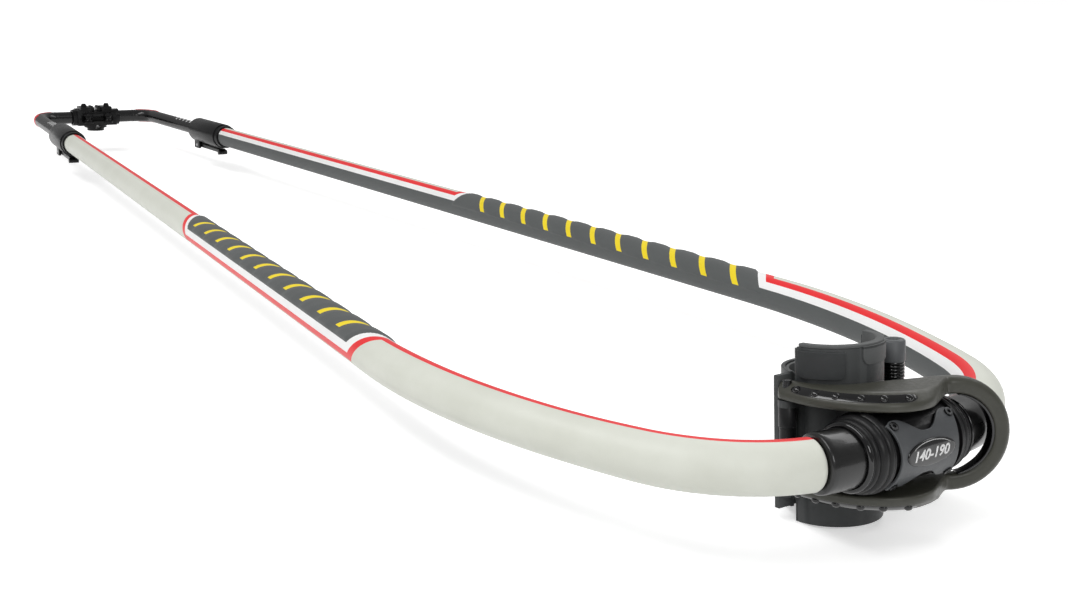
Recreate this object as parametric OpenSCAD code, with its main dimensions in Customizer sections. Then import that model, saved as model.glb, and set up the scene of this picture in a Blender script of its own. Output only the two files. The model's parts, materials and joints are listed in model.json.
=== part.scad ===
// Windsurfing wishbone boom: two curved arms, a clamp-on front head and a sliding tail end.
// Millimetres. +X points forward, +Y to port, +Z up. The origin is the centre of the mast clamp.

/* [Boom plan] */
// Straight half-length of the front tube, from the centre plane to the first bend
front_half = 41; // [40:0.5:44]
// Centreline radius of the tight bend beside the head
bend_r1 = 102; // [84:1:124]
// Angle turned by the tight bend
bend_turn1 = 64.2; // [60:0.1:68]
// Centreline radius of the long gentle bend
bend_r2 = 432; // [360:1:520]
// Inward lean of each straight rear arm
arm_lean = 3.8; // [2:0.1:4]
// Length of the straight part of each arm tube
arm_straight = 1121; // [930:1:1350]

/* [Tubes and grips] */
// Outer diameter of the arm tube
arm_d = 23.5; // [22.5:0.5:24]
// Inner diameter of the arm tube
arm_bore = 20; // [19.6:0.1:20.4]
// Outer diameter of the foam grip on the straight arm
grip_d = 26.5; // [26:0.5:30]
// Outer diameter of the foam grip round the gentle bend
grip_mid_d = 27.5; // [26:0.5:30]
// Outer diameter of the foam grip round the tight bend
grip_front_d = 28.8; // [27:0.1:31]
// Outer diameter of the front tube
neck_d = 33; // [31:0.5:33.5]
// Angle of the tight bend that the front tube covers
neck_turn = 12; // [8:1:20]
// Distance of the ribbed palm pad from the start of the straight arm
pad_start = 16; // [0:1:60]
// Length of the ribbed palm pad
pad_len = 392; // [300:2:500]
// Thickness of the ribbed palm pad
pad_t = 0.9; // [0.6:0.1:1.5]

/* [Mast clamp] */
// Diameter of the mast that the clamp holds
mast_d = 48; // [44:0.5:50]
// Distance from the mast axis to the front tube axis
tube_offset = 45; // [44.5:0.1:48]
// Backward lean of the head on the front tube
head_lean = 7.4; // [0:0.1:12]
// Height of the mast cup above its middle
cup_up = 51; // [46:1:62]
// Height of the mast cup below its middle
cup_down = 50; // [46:1:60]
// Thickness of the rubber liners
liner_t = 2; // [1.5:0.1:2.5]
// Wall of the mast cup and of the rear jaw
cup_wall = 2.4; // [2:0.1:2.6]
// Height of the rear jaw above its middle
jaw_up = 36; // [33:1:38]
// Height of the rear jaw below its middle
jaw_down = 43; // [36:1:44]

/* [Head shells] */
// Outer radius of the shells round the front tube
shell_r = 22.3; // [21.5:0.1:22.5]
// Half-width of the shells along the front tube
shell_half = 28; // [27.5:0.5:29]
// Width of each side collar
collar_w = 12.6; // [10:0.2:12.8]
// Width of the oval badge
badge_w = 38; // [30:1:40]
// Height of the oval badge
badge_h = 14; // [10:1:16]

/* [Lever] */
// Height of the inner faces of the lever arms above the middle
lever_gap = 22.8; // [22.8:0.1:25]
// Thickness of the lever arms
lever_t = 9.7; // [8:0.1:12]
// Distance of the loop centre to port
loop_y = 33; // [30:1:38]
// Depth of the loop from its rear to its front face
loop_w = 8.7; // [7:0.1:11]
// Number of studs on each lever arm
stud_count = 6; // [3:1:7]
// Diameter of a stud
stud_d = 5.2; // [4:0.1:6]

/* [Tail] */
// Distance from the mast axis to the tail crossbar, as the boom is set
boom_length = 1558; // [1540:1:1700]
// Outer diameter of the tail tube
tail_d = 19; // [18:0.1:19]
// Wall of the tail tube
tail_wall = 1.7; // [1.2:0.1:2.5]
// Centreline radius of the tail corners
tail_r = 30; // [26:1:31]
// Length of each tail leg from its corner to its front plug
leg_len = 650; // [600:5:800]
// Distance of each crossbar end from the centre plane
bar_gap = 24.5; // [24.5:0.5:25.5]
// Length of the arm clamp
clamp_len = 103; // [90:1:120]
// Outer diameter of the arm clamp
clamp_d = 35; // [33:0.5:40]
// Width of the tail fitting
fitting_w = 60; // [54:1:70]
// Height of the tail fitting above the crossbar axis
fitting_up = 22; // [20:1:28]
// Depth of the tail fitting below the crossbar axis
fitting_down = 21; // [18:1:26]
// Diameter of the rope hole
rope_hole_d = 8; // [6:0.5:10]

/* [Hidden] */
$fn = 96;
eps = 0.01;
snug = 0.04;        // gap of parts that are pushed or clamped together
run_fit = 0.1;      // radial clearance of running fits
lap = 1;            // overlap where one stretch of a tube runs into the next
seat = 0.3;         // gap between neighbours that do not touch
big = 400;

// Centres and ends of the arcs of the port arm, in the boom plane
c1 = [-bend_r1, front_half];
turn2 = 90 + arm_lean - bend_turn1;
c2 = c1 + (bend_r1 - bend_r2) * [cos(bend_turn1), sin(bend_turn1)];
arm_dir = 90 + bend_turn1 + turn2;
straight_at = c2 + bend_r2 * [cos(bend_turn1 + turn2), sin(bend_turn1 + turn2)];

// The arm tube and its bore step down from the tight bend to the straight
arm_step = 0.15;
arm_mid_r = arm_d / 2 + arm_step;
arm_front_r = arm_d / 2 + 2 * arm_step;
bore_mid_r = arm_bore / 2 + arm_step;
bore_front_r = arm_bore / 2 + 2 * arm_step;

// Tail corner, found where the arm's line meets the crossbar
tube_x = tube_offset * cos(head_lean);
tube_z = tube_offset * sin(head_lean);
bar_x = -boom_length - tube_x;
corner_y = straight_at[1] + (bar_x - straight_at[0]) * tan(arm_lean);
corner_turn = 90 - arm_lean;
corner_in = tail_r * tan(corner_turn / 2);
leg_s = (straight_at[0] - bar_x) / cos(arm_lean) - corner_in;

// Head
liner_r = mast_d / 2;
cup_in = liner_r + liner_t + 0.1;
cup_out = cup_in + cup_wall;
bore_r = neck_d / 2 + 0.05;
cover_t = 1.6;
cover_half = 27;
screw_r = 1.85;
collar_lip = 3;
hinge = [10, 40];
hinge_pin_r = 3.5;
knuckle_r = 7;
knuckle_z = 14;
bush_z = 24;
adjuster_r = 7.6;
adjuster_top = 45;
lever_axis = [0, -cup_out - 7.8];
ear_r = 5.2;
lever_pin_r = 2.5;
loop_x = tube_offset + neck_d / 2 + 0.9;
front_x = loop_x + loop_w;
corner_r = 17;
near_y = lever_axis[1] - ear_r;
plate_in = cup_out + 1;
lug_from = 4.2;
lug_to = 11.8;
lug_h = 4;
ear_z = lever_gap - 0.4 - lug_h;
plate_t = 3.4;
plate_x = lever_axis[0] - ear_r - 0.4 - plate_t;

// Arm clamp, measured along the arm from the start of its straight part
clamp_to = arm_straight + 8;
clamp_from = clamp_to - clamp_len;
lip_len = 24;
grip_to = clamp_from + lip_len - 1;
pin_s = clamp_to - 12;
pin_z = -clamp_d / 2 - 4.4;
lever_len = 74;
pin_r = 2;
ear_in = 5.3;
ear_t = 3;

// Tail fitting
sleeve_r = tail_d / 2 + 3.2;
slot_floor = tail_d / 2 + run_fit + 0.4;
cleat_foot = slot_floor + 0.05;
sleeve_half = 36;
mouth_len = 2.5;
body_x = 15;
roller_r = 6.5;
roller_h = 8;
roller_y = 15;
roller_x = body_x + 5;
roller_pin_r = 2;
screw_x = -11.4;
screw_y = fitting_w / 2 - 3;

// ---------- placing helpers ----------

// Head parts are drawn about the mast axis, then leaned back with the head
module on_head() {
    rotate([0, -head_lean, 0]) children();
}

// Boom parts are drawn about the front tube axis
module on_boom() {
    translate([tube_x, 0, tube_z]) children();
}

// Along the front tube: the local axis runs to port
module on_tube() {
    translate([tube_offset, 0, 0]) children();
}

// Along the straight port arm: the local X runs to the tail
module on_arm(s = 0) {
    translate([straight_at[0], straight_at[1], 0])
        rotate([0, 0, arm_dir])
            translate([s, 0, 0]) children();
}

module to_starboard() {
    mirror([0, 1, 0]) children();
}

// A rod along local X
module rod_x(r, from, to) {
    translate([from, 0, 0]) rotate([0, 90, 0]) cylinder(h = to - from, r = r);
}

// A rod along local Y
module rod_y(r, from, to) {
    translate([0, from, 0]) rotate([-90, 0, 0]) cylinder(h = to - from, r = r);
}

// A stretch of the tight bend
module bend_one(r, from = 0, to = bend_turn1) {
    translate([c1[0], c1[1], 0])
        rotate([0, 0, from])
            rotate_extrude(angle = to - from) translate([bend_r1, 0]) circle(r = r);
}

// The gentle bend, which starts a short lap inside the tight one
module bend_two(r) {
    lap_turn = lap / bend_r2 * 180 / PI;
    translate([c2[0], c2[1], 0])
        rotate([0, 0, bend_turn1 - lap_turn])
            rotate_extrude(angle = turn2 + lap_turn) translate([bend_r2, 0]) circle(r = r);
}

// A round run along the whole arm: tight bend, gentle bend and straight, each step thinner
module arm_run(r_front, r_mid, r_rear, from, to) {
    bend_one(r_front, from, bend_turn1);
    bend_two(r_mid);
    on_arm() rod_x(r_rear, -lap, to);
}

// ---------- front tube, arms and grips ----------

module front_tube() {
    color("#101012") on_boom() {
        rod_y(neck_d / 2, -front_half, front_half);
        bend_one(neck_d / 2, 0, neck_turn);
        to_starboard() bend_one(neck_d / 2, 0, neck_turn);
    }
}

// The hollow carbon tube of one arm, plugged where it meets the front tube
module arm_tube() {
    difference() {
        arm_run(arm_front_r, arm_mid_r, arm_d / 2, neck_turn + 0.01, arm_straight);
        arm_run(bore_front_r, bore_mid_r, arm_bore / 2, neck_turn + 3, arm_straight + 1);
    }
}

module port_arm_tube() {
    color("#1b1b1d") on_boom() arm_tube();
}

module starboard_arm_tube() {
    color("#1b1b1d") on_boom() to_starboard() arm_tube();
}

// The foam grip of one arm: a sleeve on the tube
module grip() {
    difference() {
        arm_run(grip_front_d / 2, grip_mid_d / 2, grip_d / 2, neck_turn + 0.2, grip_to);
        arm_run(arm_front_r + snug, arm_mid_r + snug, arm_d / 2 + snug, neck_turn - 1, grip_to + 1);
    }
}

module port_grip() {
    color("#d8dbcf") on_boom() grip();
}

module starboard_grip() {
    color("#d8dbcf") on_boom() to_starboard() grip();
}

// The ribbed pad lies over the upper half of the grip
module palm_pad() {
    on_arm(pad_start)
        rotate([0, 90, 0])
            rotate([0, 0, 90])
                rotate_extrude(angle = 180)
                    translate([grip_d / 2 + snug, 0]) square([pad_t, pad_len]);
}

module port_palm_pad() {
    color("#555756") on_boom() palm_pad();
}

module starboard_palm_pad() {
    color("#555756") on_boom() to_starboard() palm_pad();
}

// ---------- arm clamps ----------

module clamp_body() {
    difference() {
        union() {
            on_arm() rod_x(clamp_d / 2, clamp_from + 10, clamp_to - 4);
            on_arm() rod_x(clamp_d / 2 - 1.5, clamp_from, clamp_to);
            for (side = [-1, 1])
                on_arm() translate([pin_s - 9, side * (ear_in + ear_t / 2) - ear_t / 2, pin_z - 4.5])
                    cube([17, ear_t, 10 - pin_z / 3]);
        }
        on_arm() rod_x(arm_d / 2 + snug, clamp_from - 1, arm_straight + eps);
        on_arm() rod_x(grip_d / 2 + snug, clamp_from - 1, clamp_from + lip_len);
        on_arm() rod_x(tail_d / 2 + 1, clamp_from, clamp_to + 1);
        on_arm() rod_x(arm_bore / 2 + 1.2, arm_straight - eps, arm_straight + 6);
        on_arm() translate([pin_s - 50, -1, -clamp_d]) cube([100, 2, clamp_d - arm_d / 3]);
        on_arm() translate([pin_s, 0, pin_z]) rod_y(pin_r + 0.02, -clamp_d, clamp_d);
    }
}

module port_clamp() {
    color("#151516") on_boom() clamp_body();
}

module starboard_clamp() {
    color("#151516") on_boom() to_starboard() clamp_body();
}

// Nylon bush that guides the tail leg at the end of the arm
module end_bush() {
    on_arm(arm_straight) difference() {
        rod_x(arm_bore / 2 + 1.15, 0.05, 5.95);
        rod_x(tail_d / 2 + run_fit / 2, -1, 7);
    }
}

module port_end_bush() {
    color("#d9d9d4") on_boom() end_bush();
}

module starboard_end_bush() {
    color("#d9d9d4") on_boom() to_starboard() end_bush();
}

module clamp_pin() {
    on_arm() translate([pin_s, 0, pin_z])
        rod_y(pin_r, -ear_in - ear_t, ear_in + ear_t);
}

module port_clamp_pin() {
    color("#b9bcc0") on_boom() clamp_pin();
}

module starboard_clamp_pin() {
    color("#b9bcc0") on_boom() to_starboard() clamp_pin();
}

// Flip lever under the clamp, hinged at the tail side, with a thumb foot at its free end
module clamp_lever() {
    on_arm() translate([pin_s, 0, pin_z]) difference() {
        union() {
            rod_y(3.8, -ear_in + seat, ear_in - seat);
            translate([-lever_len, -ear_in + seat, -2.6]) cube([lever_len, 2 * (ear_in - seat), 4.8]);
            translate([-lever_len, 0, -2.4]) rod_y(3.4, -ear_in - 1, ear_in + 1);
        }
        rod_y(pin_r + run_fit, -clamp_d, clamp_d);
    }
}

module port_clamp_lever() {
    color("#0e0e0f") on_boom() clamp_lever();
}

module starboard_clamp_lever() {
    color("#0e0e0f") on_boom() to_starboard() clamp_lever();
}

// ---------- head shells and collars ----------

// Profile of the shells round the tube; the split plane runs through the tube axis
module shell_half_round(sign) {
    intersection() {
        rod_y(shell_r, -shell_half, shell_half);
        translate([sign > 0 ? 0.05 : -big, -big / 2, -big / 2]) cube([big, big, big]);
    }
}

module head_rear_shell() {
    color("#161617") on_head() difference() {
        union() {
            on_tube() shell_half_round(-1);
            translate([0, -20, -shell_r]) cube([tube_offset - 0.05, 40, 2 * shell_r]);
            translate([hinge[0] + 9, 18, -12]) cube([14, 9, 24]);
        }
        on_tube() rod_y(bore_r, -big, big);
        translate([0, 0, -big / 2]) cylinder(h = big, r = cup_out + 0.1);
    }
}

module head_front_shell() {
    color("#161617") on_head() on_tube() difference() {
        shell_half_round(1);
        rod_y(bore_r, -big, big);
        cover_seat();
        for (side = [-1, 1], up = [-1, 1])
            cover_screw_place(side, up) rod_x(screw_r + 0.02, -5, 1);
    }
}

// The seat that the cover plate sinks into
module cover_seat() {
    difference() {
        translate([0, -cover_half - 0.2, -big / 2]) cube([big, 2 * cover_half + 0.4, big]);
        rod_y(shell_r - cover_t - 0.05, -big, big);
    }
}

// Bow-tie cover plate: a band round the front, cut by round notches above, below and at the sides
module front_cover() {
    color("#4a4b4c") on_head() on_tube() difference() {
        intersection() {
            rod_y(shell_r + 0.6, -cover_half, cover_half);
            translate([13, -big / 2, -big / 2]) cube([big, big, big]);
        }
        rod_y(shell_r - cover_t, -big, big);
        for (up = [-1, 1])
            translate([0, 0, up * 31]) rod_x(19.5, 0, big);
        for (side = [-1, 1])
            translate([0, side * 64, 0]) rod_x(41, 0, big);
        badge_hole(0.05);
        for (side = [-1, 1], up = [-1, 1])
            cover_screw_place(side, up) rod_x(screw_r + 0.05, -5, 5);
    }
}

module badge_hole(grow) {
    intersection() {
        rod_y(shell_r + 2, -badge_w, badge_w);
        translate([15, 0, 0])
            rotate([0, 90, 0])
                oval(badge_h + 2 * grow, badge_w + 2 * grow, 10);
    }
}

// A flat oval made of two round flanks, so that its faces stay true arcs
module oval(a, b, h) {
    flank = (b * b / 4 + a * a / 4) / a;
    intersection() {
        translate([flank - a / 2, 0, 0]) cylinder(h = h, r = flank);
        translate([a / 2 - flank, 0, 0]) cylinder(h = h, r = flank);
    }
}

module badge() {
    color("#050506") on_head() on_tube() difference() {
        intersection() {
            badge_hole(0);
            rod_y(shell_r + 1.1, -badge_w, badge_w);
        }
        rod_y(shell_r - cover_t, -big, big);
    }
}

module cover_screw_place(side, up) {
    rotate([0, -up * 45, 0]) translate([shell_r + 0.6, side * 22.4, 0]) children();
}

module cover_screws() {
    color("#9a9da0") on_head() on_tube()
        for (side = [-1, 1], up = [-1, 1])
            cover_screw_place(side, up) difference() {
                union() {
                    rod_x(screw_r, -3.5, 0.05);
                    rod_x(2.6, 0.05, 1.0);
                }
                rod_x(1, 0.3, 3);
            }
}

// Ringed collar beside the shells
module collar() {
    on_tube() difference() {
        union() {
            rod_y(shell_r, shell_half + 0.05, shell_half + collar_w - 8);
            rod_y(shell_r - 1.6, shell_half + 0.05, shell_half + collar_w - collar_lip);
            rod_y(shell_r - 3.2, shell_half + 0.05, shell_half + collar_w);
        }
        rod_y(bore_r, -big, big);
    }
}

module port_collar() {
    color("#131314") on_head() collar();
}

module starboard_collar() {
    color("#131314") on_head() to_starboard() collar();
}

// Rubber ring against the outer face of each collar
module seal_ring() {
    on_tube() translate([0, shell_half + collar_w + 1.25, 0])
        rotate([90, 0, 0]) rotate_extrude() translate([neck_d / 2 + 1.35, 0]) circle(r = 1.2);
}

module port_seal_ring() {
    color("#0b0b0b") on_head() seal_ring();
}

module starboard_seal_ring() {
    color("#0b0b0b") on_head() to_starboard() seal_ring();
}

// ---------- mast cup, jaw and hinge ----------

// A curved wall about the mast axis, between two radii and two heights
module wall_arc(r0, r1, z0, z1, from, to) {
    rotate([0, 0, from])
        rotate_extrude(angle = to - from) translate([r0, z0]) square([r1 - r0, z1 - z0]);
}

module mast_cup() {
    color("#3c3e3e") on_head() difference() {
        union() {
            wall_arc(cup_in, cup_out, -cup_down, cup_up, -90, 90);
            for (side = [-1, 1])
                translate([-1, side * (cup_in + cup_wall / 2), -cup_down])
                    cylinder(h = cup_down + cup_up - 1, r = cup_wall / 2);
            for (z = [-lug_to, lug_from])
                hinge_lug(z, lug_to - lug_from);
            for (z = [-ear_z - lug_h, ear_z])
                translate([0, 0, z]) lever_lug();
        }
        translate([hinge[0], hinge[1], -big / 2]) cylinder(h = big, r = hinge_pin_r + 0.02);
        translate([lever_axis[0], lever_axis[1], -big / 2]) cylinder(h = big, r = lever_pin_r + 0.02);
        translate([0, 0, -big / 2]) cylinder(h = big, r = cup_in);
    }
}

// Lug on the far side that carries the hinge pin
module hinge_lug(z, h) {
    translate([0, 0, z]) {
        translate([hinge[0], hinge[1], 0]) cylinder(h = h, r = knuckle_r);
        translate([hinge[0] - 3, cup_in - 8, 0]) cube([knuckle_r + 3, hinge[1] - cup_in + 8, h]);
    }
}

// Lug on the near side that carries the lever pin
module lever_lug() {
    translate([lever_axis[0], lever_axis[1], 0]) cylinder(h = lug_h, r = ear_r);
    translate([lever_axis[0], lever_axis[1], 0]) cube([ear_r, -lever_axis[1] - cup_in + 2, lug_h]);
}

module cup_liner() {
    color("#6a6c69") on_head() rotate([0, 0, -88])
        rotate_extrude(angle = 176) polygon([
            [liner_r, -cup_down], [liner_r + liner_t, -cup_down], [liner_r + liner_t, cup_up + 0.1],
            [cup_out, cup_up + 0.1], [cup_out, cup_up + liner_t], [liner_r, cup_up + liner_t]
        ]);
}

module hinge_pin() {
    color("#8d9094") on_head() translate([hinge[0], hinge[1], -knuckle_z - 3])
        cylinder(h = knuckle_z + 3 + bush_z - 2, r = hinge_pin_r);
}

// Ringed collar between the hinge knuckles and the adjuster
module hinge_bush() {
    color("#1a1a1b") on_head() translate([hinge[0], hinge[1], 0]) difference() {
        union() {
            translate([0, 0, knuckle_z + 2]) cylinder(h = bush_z - knuckle_z - 2, r = 6.2);
            for (ring = [0:2])
                translate([0, 0, knuckle_z + 2.4 + ring * 2.8]) cylinder(h = 1.4, r = 6.9);
        }
        translate([0, 0, -big / 2]) cylinder(h = big, r = hinge_pin_r + 0.02);
    }
}

// Adjuster with a hexagon socket, turned with a key
module adjuster() {
    color("#2c2e30") on_head() translate([hinge[0], hinge[1], 0]) difference() {
        union() {
            translate([0, 0, bush_z + 0.1]) cylinder(h = adjuster_top - bush_z - 1.6, r = adjuster_r);
            translate([0, 0, adjuster_top - 1.5]) cylinder(h = 1.5, r = adjuster_r - 0.8);
        }
        translate([0, 0, adjuster_top - 11]) cylinder(h = 20, r = 4.6, $fn = 6);
    }
}

module rear_jaw() {
    color("#37393a") on_head() difference() {
        union() {
            wall_arc(cup_in, cup_out, -jaw_down, jaw_up, 97, 258);
            jaw_knuckle(-knuckle_z - 1.6, 3.4);
            jaw_knuckle(-3.6, 7.2);
            jaw_knuckle(knuckle_z - 1.6, 3.2);
            translate([plate_x, -cup_out - 9, 1 - jaw_down])
                cube([plate_t, 11.4, jaw_down + jaw_up - 2]);
        }
        translate([0, 0, -big / 2]) cylinder(h = big, r = cup_in);
        translate([hinge[0], hinge[1], -big / 2]) cylinder(h = big, r = hinge_pin_r + run_fit);
    }
}

// Knuckle of the jaw, with the arm that carries it round the side of the mast
module jaw_knuckle(z, h) {
    translate([0, 0, z]) {
        translate([hinge[0], hinge[1], 0]) cylinder(h = h, r = knuckle_r - 0.4);
        translate([-5, hinge[1] - knuckle_r + 1, 0]) cube([hinge[0] + 5, 2 * knuckle_r - 4, h]);
        translate([-9, cup_in, 0]) cube([5, hinge[1] - cup_in + 4, h]);
    }
}

module jaw_liner() {
    color("#6a6c69") on_head()
        wall_arc(liner_r, liner_r + liner_t, -jaw_down + 1, jaw_up - 1, 98, 257);
}

// ---------- lever ----------

// Plan of one lever arm: a near strip from the pin forward and a front strip to the loop
module lever_plan() {
    difference() {
        union() {
            translate(lever_axis) circle(r = ear_r);
            translate([lever_axis[0], near_y]) square([front_x - corner_r - lever_axis[0], 2 * ear_r]);
            translate([lever_axis[0] + 6, near_y]) square([front_x - corner_r - 6, 22]);
            translate([front_x - corner_r, near_y + corner_r]) circle(r = corner_r);
            translate([front_x - 26, near_y + corner_r - 3]) square([26, -near_y - corner_r + 16]);
            translate([loop_x, 0]) square([loop_w, loop_y]);
        }
        circle(r = plate_in);
    }
}

// Half ring round the port side of the tube
module half_ring(r0, r1, x0, x1) {
    translate([0, loop_y, 0])
        rotate([0, 90, 0])
            rotate_extrude(angle = 180) translate([r0, x0]) square([r1 - r0, x1 - x0]);
}

// One arm of the lever; the loop joins its end face at loop_y
module lever_arm(up) {
    color("#4b4b44") on_head() difference() {
        translate([0, 0, up > 0 ? lever_gap : -lever_gap - lever_t])
            linear_extrude(lever_t) lever_plan();
        translate([lever_axis[0], lever_axis[1], -big / 2]) cylinder(h = big, r = lever_pin_r + run_fit);
        stud_places()
            translate([0, 0, up * (lever_gap + lever_t)])
                cylinder(h = 1.6, r = stud_d / 2 + 0.4, center = true);
    }
}

module upper_lever_arm() {
    lever_arm(1);
}

module lower_lever_arm() {
    lever_arm(-1);
}

// Loop that joins both arms
module lever_loop() {
    color("#4b4b44") on_head() half_ring(lever_gap, lever_gap + lever_t, loop_x, front_x);
}

module lever_lining() {
    color("#060607") on_head()
        half_ring(lever_gap - 1.5, lever_gap - 0.05, loop_x + 0.6, front_x - 0.6);
}

module lever_pin() {
    color("#8d9094") on_head()
        translate([lever_axis[0], lever_axis[1], -lever_gap - lever_t - 1])
            cylinder(h = 2 * (lever_gap + lever_t + 1), r = lever_pin_r);
}

// Row of studs along the near side of the arm
module stud_places() {
    first = lever_axis[0] + 9;
    last = front_x - corner_r - 2;
    for (i = [0:stud_count - 1])
        translate([first + (last - first) * i / (stud_count - 1), near_y + 5.2, 0]) children();
}

// Each stud is a dome in a shallow pocket
module stud(up) {
    intersection() {
        translate([0, 0, up * (lever_gap + lever_t - 1.6)]) sphere(r = stud_d / 2);
        translate([0, 0, up * (lever_gap + lever_t + 2.2)]) cube([9, 9, 6], center = true);
    }
}

module upper_studs() {
    color("#050506") on_head() stud_places() stud(1);
}

module lower_studs() {
    color("#050506") on_head() stud_places() stud(-1);
}

// ---------- tail ----------

// One half of the tail tube: leg, corner and half crossbar
module tail_tube_solid() {
    on_arm() rod_x(tail_d / 2, leg_s - leg_len, leg_s + lap);
    translate([bar_x + tail_r, corner_y - corner_in, 0])
        rotate([0, 0, 90 + arm_lean])
            rotate_extrude(angle = corner_turn) translate([tail_r, 0]) circle(r = tail_d / 2 + arm_step);
    translate([bar_x, 0, 0]) rod_y(tail_d / 2, bar_gap, corner_y - corner_in + lap);
}

module tail_tube() {
    difference() {
        tail_tube_solid();
        on_arm() rod_x(tail_d / 2 - tail_wall, leg_s - leg_len - 1, leg_s - 30);
        translate([bar_x, 0, 0]) rod_y(tail_d / 2 - tail_wall, 0, bar_gap + 14);
    }
}

module port_tail_tube() {
    color("#141415") on_boom() tail_tube();
}

module starboard_tail_tube() {
    color("#141415") on_boom() to_starboard() tail_tube();
}

// Moulded bumper round the outside of the tail corner
module tail_bumper() {
    translate([bar_x + tail_r, corner_y - corner_in, 0])
        rotate([0, 0, 112])
            rotate_extrude(angle = 44) translate([tail_r, 0]) intersection() {
                difference() {
                    circle(r = tail_d / 2 + 1.8);
                    circle(r = tail_d / 2 + arm_step + snug);
                }
                translate([1, -tail_d]) square([tail_d, 2 * tail_d]);
            }
}

module port_tail_bumper() {
    color("#e2202a") on_boom() tail_bumper();
}

module starboard_tail_bumper() {
    color("#e2202a") on_boom() to_starboard() tail_bumper();
}

// Plug at the front end of the leg, which slides in the arm
module leg_plug() {
    on_arm(leg_s - leg_len) {
        rod_x(arm_bore / 2 - run_fit, -8, -0.05);
        rod_x(tail_d / 2 - tail_wall - 0.02, -0.05, 18);
    }
}

module port_leg_plug() {
    color("#d9d9d4") on_boom() leg_plug();
}

module starboard_leg_plug() {
    color("#d9d9d4") on_boom() to_starboard() leg_plug();
}

// ---------- tail fitting ----------

module on_fitting() {
    on_boom() translate([bar_x, 0, 0]) children();
}

// The two half shells share the sleeve and the crossbar bore
module fitting_half(up) {
    intersection() {
        union() {
            rod_y(sleeve_r, -sleeve_half, sleeve_half);
            translate([-body_x, -fitting_w / 2, -12]) cube([2 * body_x, fitting_w, 24]);
            for (side = [-1, 1])
                translate([roller_x, side * roller_y, -roller_h / 2 - 3.5])
                    cylinder(h = roller_h + 7, r = roller_r + 0.8);
            translate([body_x - 2, -roller_y - roller_r, -roller_h / 2 - 3.5])
                cube([roller_x - body_x + 4, 2 * (roller_y + roller_r), roller_h + 7]);
            if (up > 0) {
                translate([-body_x + 1, -24, 0]) cube([2 * body_x - 4, 48, 17]);
                for (side = [-1, 1])
                    translate([0, side * 17.5, 0]) horn(fitting_up);
            }
            if (up < 0) {
                translate([0, 0, -fitting_down + 5]) cylinder(h = fitting_down, r = 17);
                translate([0, 0, -fitting_down]) cylinder(h = fitting_down, r = 13);
            }
        }
        translate([-big / 2, -big / 2, up > 0 ? 0.03 : -big - 0.03]) cube([big, big, big]);
    }
}

// Horn beside the cleats
module horn(top) {
    translate([4, 0, 0]) cylinder(h = top, r = 3.4);
    translate([4, 0, 0]) cylinder(h = top - 2, r = 4.2);
}

module fitting_cuts() {
    rod_y(tail_d / 2 + run_fit, -big, big);
    for (side = [0, 1])
        mirror([0, side, 0]) rod_y(tail_d / 2 + 0.6, sleeve_half - mouth_len, big);
    translate([roller_x - 8, -roller_y - roller_r - 3, -roller_h / 2 - 0.3])
        cube([roller_r + 20, 2 * (roller_y + roller_r + 3), roller_h + 0.6]);
    for (side = [-1, 1])
        translate([roller_x, side * roller_y, -big / 2]) cylinder(h = big, r = roller_pin_r + 0.02);
    for (side = [-1, 1])
        translate([screw_x, side * screw_y, -big / 2]) cylinder(h = big, r = 1.5);
}

module fitting_top() {
    color("#121213") on_fitting() difference() {
        fitting_half(1);
        fitting_cuts();
        translate([-6, 0, slot_floor]) rope_slot();
    }
}

// Slot between the cleats
module rope_slot() {
    translate([-20, -8, 0]) cube([50, 16, 30]);
}

module fitting_bottom() {
    color("#121213") on_fitting() difference() {
        fitting_half(-1);
        fitting_cuts();
        translate([0, 0, -fitting_down + 6]) rod_x(rope_hole_d / 2, -big / 2, big / 2);
    }
}

module fitting_screws() {
    color("#9a9da0") on_fitting()
        for (side = [-1, 1])
            translate([screw_x, side * screw_y, 0]) {
                translate([0, 0, -10]) cylinder(h = 22 + snug, r = 1.45);
                translate([0, 0, 12 + snug]) cylinder(h = 1.4, r = 2.6);
            }
}

// Toothed cleats that grip the outhaul rope on both sides of the slot
module rope_cleats() {
    color("#1f1f20") on_fitting()
        for (side = [-1, 1])
            translate([-10, side * 5.2 - 2.7, cleat_foot]) union() {
                cube([20, 5.4, 6.5]);
                for (tooth = [0:6])
                    translate([0.6 + tooth * 2.7, 0.9, 6.5]) cube([1.3, 3.6, 1.6]);
            }
}

module roller(side) {
    translate([roller_x, side * roller_y, 0]) rotate_extrude() difference() {
        translate([roller_pin_r + run_fit, -roller_h / 2]) square([roller_r - roller_pin_r - run_fit, roller_h]);
        translate([roller_r + 2, 0]) circle(r = 4);
    }
}

module port_roller() {
    color("#2a2a2b") on_fitting() roller(1);
}

module starboard_roller() {
    color("#2a2a2b") on_fitting() roller(-1);
}

module roller_pins() {
    color("#b9bcc0") on_fitting()
        for (side = [-1, 1])
            translate([roller_x, side * roller_y, -roller_h / 2 - 3.5])
                cylinder(h = roller_h + 7, r = roller_pin_r);
}

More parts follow.
